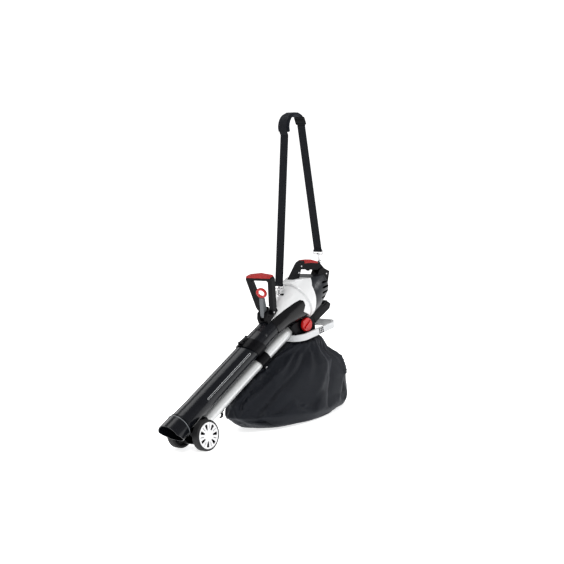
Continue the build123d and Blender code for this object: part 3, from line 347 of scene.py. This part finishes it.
# ---- collection bag ------------------------------------------------------------------------------------
# height, middle, half length and half width of the bag's level sections, in millimetres
BAG_SECTIONS = [(4, 578, 256, 124), (16, 573, 306, 148), (52, 571, 356, 164), (100, 606, 374, 168),
                (170, 648, 350, 162), (240, 694, 262, 138), (296, 714, 158, 102), (316, 722, 110, 78),
                (334, 730, 84, 55)]
BAG_ROUND, BAG_STEPS = 150, 74
BAG_UNDER = 0.16  # share of the cloth's run that is its underside
CLOTH_FRAMES, CLOTH_SPREAD, CLOTH_THICK = 20, 0.03, 0.0008
HELD_ABOVE = 0.322  # the cloth is held at its collar, over this height
GATHER_DEPTH, SLACK_DEPTH, FOLD_DEPTH = 0.05, 0.018, 0.12


def bag_section(height):
    """Middle, half length and half width of the bag at a height, eased between its sections."""
    for low, high in zip(BAG_SECTIONS[:-1], BAG_SECTIONS[1:]):
        if height <= high[0]:
            share = (height - low[0]) / (high[0] - low[0])
            return [a + (b - a) * share for a, b in zip(low[1:], high[1:])]
    return BAG_SECTIONS[-1][1:]


# angle at the collar, how far it turns by the floor, width and depth of each long fold in the cloth
LONG_FOLDS = [(-0.35, -0.55, 0.10, -1.0), (-0.62, -0.35, 0.12, 0.7), (-0.05, 0.25, 0.09, 0.8),
              (-1.10, -0.10, 0.10, -0.8), (-1.55, 0.20, 0.13, 0.6), (-2.05, -0.35, 0.10, -0.9),
              (-2.45, -0.30, 0.08, 0.8), (-2.80, 0.10, 0.07, -0.8), (0.40, 0.25, 0.10, -0.9),
              (0.85, -0.20, 0.12, 0.8), (1.30, 0.15, 0.10, -0.8), (1.80, 0.30, 0.12, 0.7),
              (2.30, 0.25, 0.09, -0.8), (2.75, 0.10, 0.08, 0.7)]


def long_folds(angle, height):
    """The long folds from the collar down to the floor: sharp-crested, and softer near the underside."""
    fall = 1 - height / BAG_SECTIONS[-1][0]
    fade = math.sin(math.pi * min(1.0, 0.12 + fall)) ** 0.6
    total = 0.0
    for start, turn, width, depth in LONG_FOLDS:
        gap = (angle - start - turn * fall + math.pi) % math.tau - math.pi
        total += depth * math.exp(-abs(gap) / width * (1.0 + 0.8 * fall)) * fade
    return total


def bag_point(share, angle):
    """A point of the bag's cloth: share 0 at the middle of its underside, 1 at the collar."""
    if share < BAG_UNDER:
        height = BAG_SECTIONS[0][0]
        middle, length, width = bag_section(height)
        reach = share / BAG_UNDER
        length, width = length * reach, width * reach
    else:
        rise = (share - BAG_UNDER) / (1 - BAG_UNDER)
        height = BAG_SECTIONS[0][0] + (BAG_SECTIONS[-1][0] - BAG_SECTIONS[0][0]) * rise
        middle, length, width = bag_section(height)
        gather = max(0.0, (height - 150) / 180) ** 1.4
        pleat = math.sin(angle * 17 + 1.3 * math.sin(angle * 3)) * 0.6 + math.sin(angle * 29 + 2) * 0.4
        slack = math.sin(angle * 7 + height / 46) * math.sin(height / 31 + 2 * math.sin(angle * 2))
        fold = long_folds(angle + 0.12 * math.sin(height / 60), height)
        swell = 1 + GATHER_DEPTH * gather * pleat + SLACK_DEPTH * (1 - gather) * slack + FOLD_DEPTH * fold
        length, width = length * swell, width * swell
    return spot(middle + length * math.cos(angle), height, width * math.sin(angle))


def bag_mesh():
    """The bag as a closed skin of rings, open at its collar."""
    mesh = bmesh.new()
    rings = []
    for step in range(1, BAG_STEPS + 1):
        share = step / BAG_STEPS
        rings.append([mesh.verts.new(bag_point(share, math.tau * i / BAG_ROUND)) for i in range(BAG_ROUND)])
    for low, high in zip(rings[:-1], rings[1:]):
        join_rings(mesh, low, high)
    middle = mesh.verts.new(bag_point(0, 0))
    for i in range(BAG_ROUND):
        mesh.faces.new((middle, rings[0][(i + 1) % BAG_ROUND], rings[0][i]))
    bmesh.ops.recalc_face_normals(mesh, faces=mesh.faces)
    data = bpy.data.meshes.new("bag_cloth")
    mesh.to_mesh(data)
    mesh.free()
    return data


BLOW_DROP = -78.0  # the blow tube's axis, off the suction tube's
BLOW_RUN, BLOW_ROOM = (60, 720), 0.031
COUPLER_RUN, COUPLER_ROOM = (468, 536), 0.036


def keep_out(name, run, radius):
    """A tube on the blow tube's axis that the cloth can't enter, for the simulation only."""
    start, end = at(run[0], BLOW_DROP), at(run[1], BLOW_DROP)
    way = end - start
    middle = (start + end) / 2
    bpy.ops.mesh.primitive_cylinder_add(vertices=32, radius=radius, depth=way.length, location=middle)
    tube = bpy.context.object
    tube.name = name
    tube.rotation_euler = way.to_track_quat("Z", "Y").to_euler()
    tube.modifiers.new("collision", "COLLISION")
    tube.collision.thickness_outer = 0.004
    return tube


def settle_cloth(obj, pinned, frames):
    """Lets gravity and a little air shape the cloth, then keeps the result."""
    group = obj.vertex_groups.new(name="pinned")
    group.add(pinned, 1.0, "REPLACE")
    helpers = [keep_out("keep_blow", BLOW_RUN, BLOW_ROOM)]
    helpers.append(keep_out("keep_coupler", COUPLER_RUN, COUPLER_ROOM))
    bpy.ops.mesh.primitive_plane_add(size=3, location=(0, 0, 0))
    ground = bpy.context.object
    ground.modifiers.new("collision", "COLLISION")
    ground.collision.thickness_outer = 0.003
    ground.collision.cloth_friction = 40
    helpers.append(ground)
    cloth = obj.modifiers.new("cloth", "CLOTH")
    settings = cloth.settings
    settings.quality = 6
    settings.mass = 0.12
    settings.tension_stiffness = 20
    settings.compression_stiffness = 12
    settings.shear_stiffness = 6
    settings.bending_stiffness = 0.6
    settings.shrink_min = -0.025
    settings.use_pressure = True
    settings.uniform_pressure_force = 1.3
    settings.vertex_group_mass = "pinned"
    settings.effector_weights.gravity = 0.6
    settings.air_damping = 3
    cloth.collision_settings.distance_min = 0.003
    cloth.collision_settings.use_self_collision = False
    cloth.point_cache.frame_end = frames
    scene = bpy.context.scene
    for step in range(1, frames + 1):
        scene.frame_set(step)
    graph = bpy.context.evaluated_depsgraph_get()
    result = bpy.data.meshes.new_from_object(obj.evaluated_get(graph))
    obj.modifiers.clear()
    obj.data = result
    for helper in helpers:
        bpy.data.objects.remove(helper)
    scene.frame_set(1)


def limit_spread(obj, rest, reach):
    """Caps how far each point has moved from its place before the simulation."""
    for vertex, start in zip(obj.data.vertices, rest):
        shift = vertex.co - start
        if shift.length > reach:
            vertex.co = start + shift.normalized() * reach


def add_bag():
    """The gathered collection bag."""
    data = bag_mesh()
    bag = bpy.data.objects.new("bag", data)
    bpy.context.collection.objects.link(bag)
    rest = [v.co.copy() for v in data.vertices]
    collar = [i for i in range(len(rest)) if rest[i].z > HELD_ABOVE]
    settle_cloth(bag, collar, CLOTH_FRAMES)
    limit_spread(bag, rest, CLOTH_SPREAD)
    smooth_faces(bag)
    shell = bag.modifiers.new("cloth_thickness", "SOLIDIFY")
    shell.thickness = CLOTH_THICK
    shell.offset = -1
    dress(bag, "bag_fabric")
    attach(bag, "housing")
    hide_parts("collection_bag")


# ---- shoulder pad --------------------------------------------------------------------------------------
PAD_LINE = [(728, 1238), (727, 1262), (736, 1286), (754, 1304), (778, 1311), (802, 1308), (821, 1296)]
PAD_STEPS, PAD_ROUND, PAD_HALF_WIDTH, PAD_HALF_THICK = 84, 56, 32.0, 5.0


def curve_point(points, share):
    """A point, in millimetres, on the smooth line through some points."""
    place = share * (len(points) - 1)
    first = min(int(place), len(points) - 2)
    t = place - first
    ends = [points[max(0, min(len(points) - 1, first + k))] for k in (-1, 0, 1, 2)]
    return [0.5 * (2 * b + (c - a) * t + (2 * a - 5 * b + 4 * c - d) * t ** 2
                   + (3 * b - a - 3 * c + d) * t ** 3) for a, b, c, d in zip(*ends)]


def pad_ring(share):
    """One cross-section of the pad: swollen between its bound edges and its two rows of stitching."""
    here = curve_point(PAD_LINE, max(0.0, share - 0.004))
    ahead = curve_point(PAD_LINE, min(1.0, share + 0.004))
    middle = curve_point(PAD_LINE, share)
    run = Vector((ahead[0] - here[0], ahead[1] - here[1])).normalized()
    end = min(share, 1 - share)
    narrow = 1 - 0.22 * max(0.0, 1 - end / 0.05) ** 2
    flat = 0.45 + 0.55 * min(1.0, end / 0.045) ** 0.5
    ring = []
    for step in range(PAD_ROUND):
        angle = math.tau * step / PAD_ROUND
        wide = math.copysign(abs(math.cos(angle)) ** 0.55, math.cos(angle))
        tall = math.copysign(abs(math.sin(angle)) ** 0.55, math.sin(angle))
        rows = 0.30 * math.exp(-((abs(wide) - 0.80) / 0.035) ** 2)
        rows += 0.20 * math.exp(-(end - 0.06) ** 2 / 0.00008)
        quilt = 0.06 * math.sin(share * 36) * (1 - wide ** 4)
        out = tall * PAD_HALF_THICK * flat * (1 - rows + quilt - 0.10 * wide ** 6)
        ring.append(spot(middle[0] - run.y * out, middle[1] + run.x * out, wide * PAD_HALF_WIDTH * narrow))
    return ring


def add_shoulder_pad():
    """The padded rest in the middle of the strap."""
    mesh = bmesh.new()
    rings = [[mesh.verts.new(p) for p in pad_ring(step / PAD_STEPS)] for step in range(PAD_STEPS + 1)]
    for low, high in zip(rings[:-1], rings[1:]):
        join_rings(mesh, low, high)
    mesh.faces.new(rings[0][::-1])
    mesh.faces.new(rings[-1])
    bmesh.ops.recalc_face_normals(mesh, faces=mesh.faces)
    pad = add_piece(mesh, "shoulder_padding", "pad_fabric", "strap")
    smooth_faces(pad)
    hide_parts("shoulder_pad")


# ---- small holes in the bag frame's side, as discs of painted shade ------------------------------------
FRAME_SLOPE = math.radians(6)
FRAME_FACE = -78.5  # the near side of the frame, across the machine
HOLES_BACK, HOLES_HEIGHT = 770, 361
HOLE_COLUMNS, HOLE_ROWS = (-11, 0, 11), (-8.5, 0, 8.5)
# radius of each hole, and thickness of the dark disc of painted shade drawn in it
HOLE_R, SHADE_DISC_THICK = 0.0038, 0.0016


def add_frame_hole_shade():
    """Nine round holes in the near side of the bag frame, drawn as shallow dark discs of painted shade."""
    mesh = bmesh.new()
    for column in HOLE_COLUMNS:
        for row in HOLE_ROWS:
            back = HOLES_BACK + column * math.cos(FRAME_SLOPE) - row * math.sin(FRAME_SLOPE)
            height = HOLES_HEIGHT + column * math.sin(FRAME_SLOPE) + row * math.cos(FRAME_SLOPE)
            place = Matrix.Translation(spot(back, height, FRAME_FACE)) @ Matrix.Rotation(math.pi / 2, 4, "X")
            bmesh.ops.create_cone(mesh, cap_ends=True, segments=20, radius1=HOLE_R, radius2=HOLE_R,
                                  depth=SHADE_DISC_THICK, matrix=place)
    # the discs are black plastic standing out of the frame side: painted shade in place of each hole's dark
    # inside
    add_piece(mesh, "frame_hole_shade", "moulded_black", "housing")


# ---- bands and beads on the suction tube ---------------------------------------------------------------
BAND_ROUND = 96
GROOVE_MIDDLE, GROOVE_OFF = 271.0, 15.0  # along the tube and off its axis
BEAD_LONG, BEAD_HIGH, BEAD_WIDE = 153.0, 3.6, 1.1  # half length of its straight runs, end radius, width
BEAD_IN, BEAD_OUT = 44.1, 45.3  # how far across the machine it starts and ends
BEAD_STEPS = 20


def add_tube_band(name, slot, radius_in, radius_out, start, end):
    """A thin band round the suction tube, between two places along it."""
    mesh = bmesh.new()
    turns = [math.tau * i / BAND_ROUND for i in range(BAND_ROUND)]
    loops = []
    for reach, along in ((radius_in, start), (radius_out, start), (radius_out, end), (radius_in, end)):
        loops.append([mesh.verts.new(at(along, reach * math.cos(a), reach * math.sin(a))) for a in turns])
    for first, second in zip(loops, loops[1:] + loops[:1]):
        join_rings(mesh, first, second)
    bmesh.ops.recalc_face_normals(mesh, faces=mesh.faces)
    band = add_piece(mesh, name, slot, "housing")
    edge = band.modifiers.new("edges", "BEVEL")
    edge.width = 0.0006
    edge.segments = 2


def add_groove_trims():
    """The pale rounded bead in each side groove of the suction tube."""
    mesh = bmesh.new()
    turns = [math.pi * i / BEAD_STEPS - math.pi / 2 for i in range(BEAD_STEPS + 1)]
    outline = [(end, angle) for end in (1, -1) for angle in turns]
    for side in (-1, 1):
        loops = []
        for shift, across in ((-1, BEAD_IN), (-1, BEAD_OUT), (1, BEAD_OUT), (1, BEAD_IN)):
            reach = BEAD_HIGH + shift * BEAD_WIDE / 2
            loops.append([mesh.verts.new(at(GROOVE_MIDDLE + end * (BEAD_LONG + reach * math.cos(angle)),
                                            GROOVE_OFF + end * reach * math.sin(angle), side * across))
                          for end, angle in outline])
        for first, second in zip(loops, loops[1:] + loops[:1]):
            join_rings(mesh, first, second)
    bmesh.ops.recalc_face_normals(mesh, faces=mesh.faces)
    add_piece(mesh, "groove_trims", "frame_grey", "housing")


# ---- webbing in the strap's buckle ---------------------------------------------------------------------
BUCKLE = spot(837, 1276)
STRAP_RUN = Vector((-0.3, 0, 1)).normalized()
WEB_SIZE = (0.044, 0.046, 0.0022, 1)  # across the strap, along it and through it


def add_buckle_webbing():
    """The webbing that runs through the buckle's two slots."""
    turn = Matrix((ACROSS, STRAP_RUN, ACROSS.cross(STRAP_RUN))).transposed().to_4x4()
    mesh = bmesh.new()
    bmesh.ops.create_cube(mesh, size=1, matrix=Matrix.Translation(BUCKLE) @ turn @ Matrix.Diagonal(WEB_SIZE))
    add_piece(mesh, "buckle_webbing", "webbing", "strap")


add_camera()
add_studio()
finish_nodes()
add_bag()
add_frame_hole_shade()
add_groove_trims()
# a lighter grey ring at the cuff's upper edge: a painted highlight along the cuff step, not a grey part
add_tube_band("cuff_highlight_band", "lever_grey", 54.6, 55.9, -48, -44)
add_tube_band("tube_bead", "tube_black", 51.4, 53.2, -36, -30)
add_shoulder_pad()
add_buckle_webbing()
